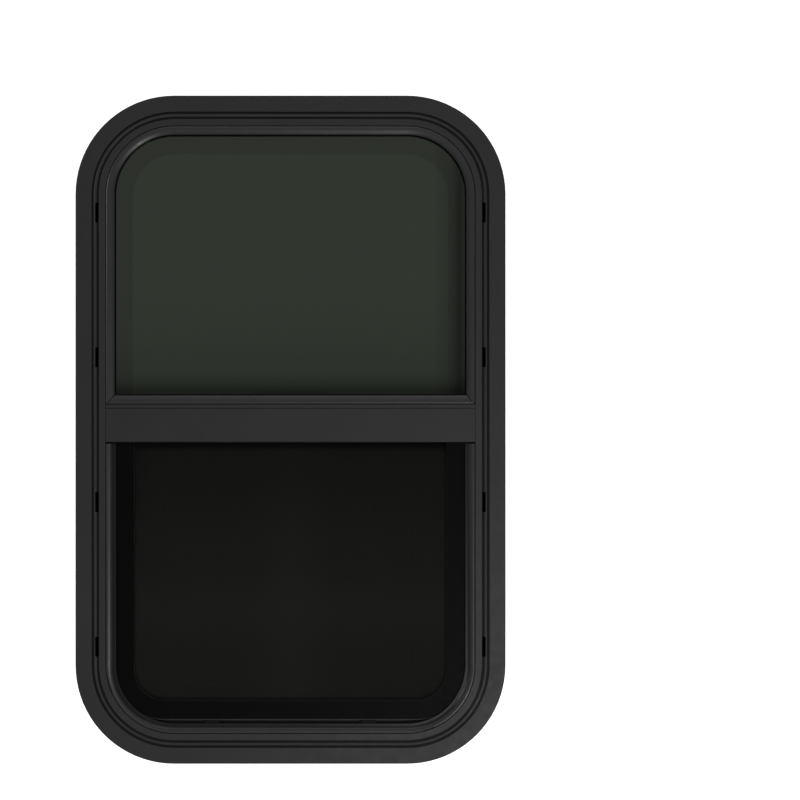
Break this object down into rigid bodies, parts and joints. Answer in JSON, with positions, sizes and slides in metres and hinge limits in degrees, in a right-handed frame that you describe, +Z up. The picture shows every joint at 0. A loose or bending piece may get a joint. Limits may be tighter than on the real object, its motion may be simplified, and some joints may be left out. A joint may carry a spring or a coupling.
{
  "type": "caravan window",
  "caption": "Black vertical slider window for a caravan wall, with tinted glass, an insect screen, a sliding lower sash and an inside clamp ring.",
  "frame": {"origin": "middle of the bottom flange run, on the flange's back face where it lies on the wall's outside skin", "axes": "+Z up, +X to the right seen from outside, +Y from outside into the room"},
  "size_m": [0.4128, 0.0432, 0.6414],
  "materials": {
    "frame_black": "satin black powder coat on extruded aluminium",
    "ring_black": "matt black powder coat on aluminium",
    "screen_black": "matt black paint on roll-formed aluminium",
    "bead_vinyl": "satin black glazing vinyl",
    "tinted_glass": "dark green-grey tempered glass, polished",
    "seal_rubber": "matt black rubber",
    "pile_seal": "black wool pile weatherstrip",
    "screen_mesh": "black coated glass fibre insect mesh",
    "black_plastic": "moulded black nylon",
    "screw_black": "black oxide on steel"
  },
  "bodies": {
    "root": {"outer_frame": "frame_black", "fixed_glass": "tinted_glass", "glazing_tape": "seal_rubber", "glass_setting_blocks": "seal_rubber", "upper_bead": "bead_vinyl", "rail_bead": "bead_vinyl", "meeting_rail": "frame_black", "rail_seal": "pile_seal", "lower_bead": "bead_vinyl", "screen_frame": "screen_black", "screen_top_bar": "screen_black", "screen_corner_keys": "black_plastic", "screen_mesh": "screen_mesh", "screen_spline": "seal_rubber", "screen_rest_blocks": "seal_rubber", "sash_glass": "tinted_glass", "sash_top_rail": "frame_black", "sash_rail_gasket": "seal_rubber", "sash_rail_end_caps": "black_plastic", "sash_glides": "black_plastic", "sash_seal_front": "pile_seal", "sash_seal_back": "pile_seal", "latch_body": "black_plastic", "latch_slide": "black_plastic", "clamp_ring": "ring_black", "ring_screws_top": "screw_black", "ring_screws_bottom": "screw_black", "ring_screws_left": "screw_black", "ring_screws_right": "screw_black"}
  },
  "joints": []
}
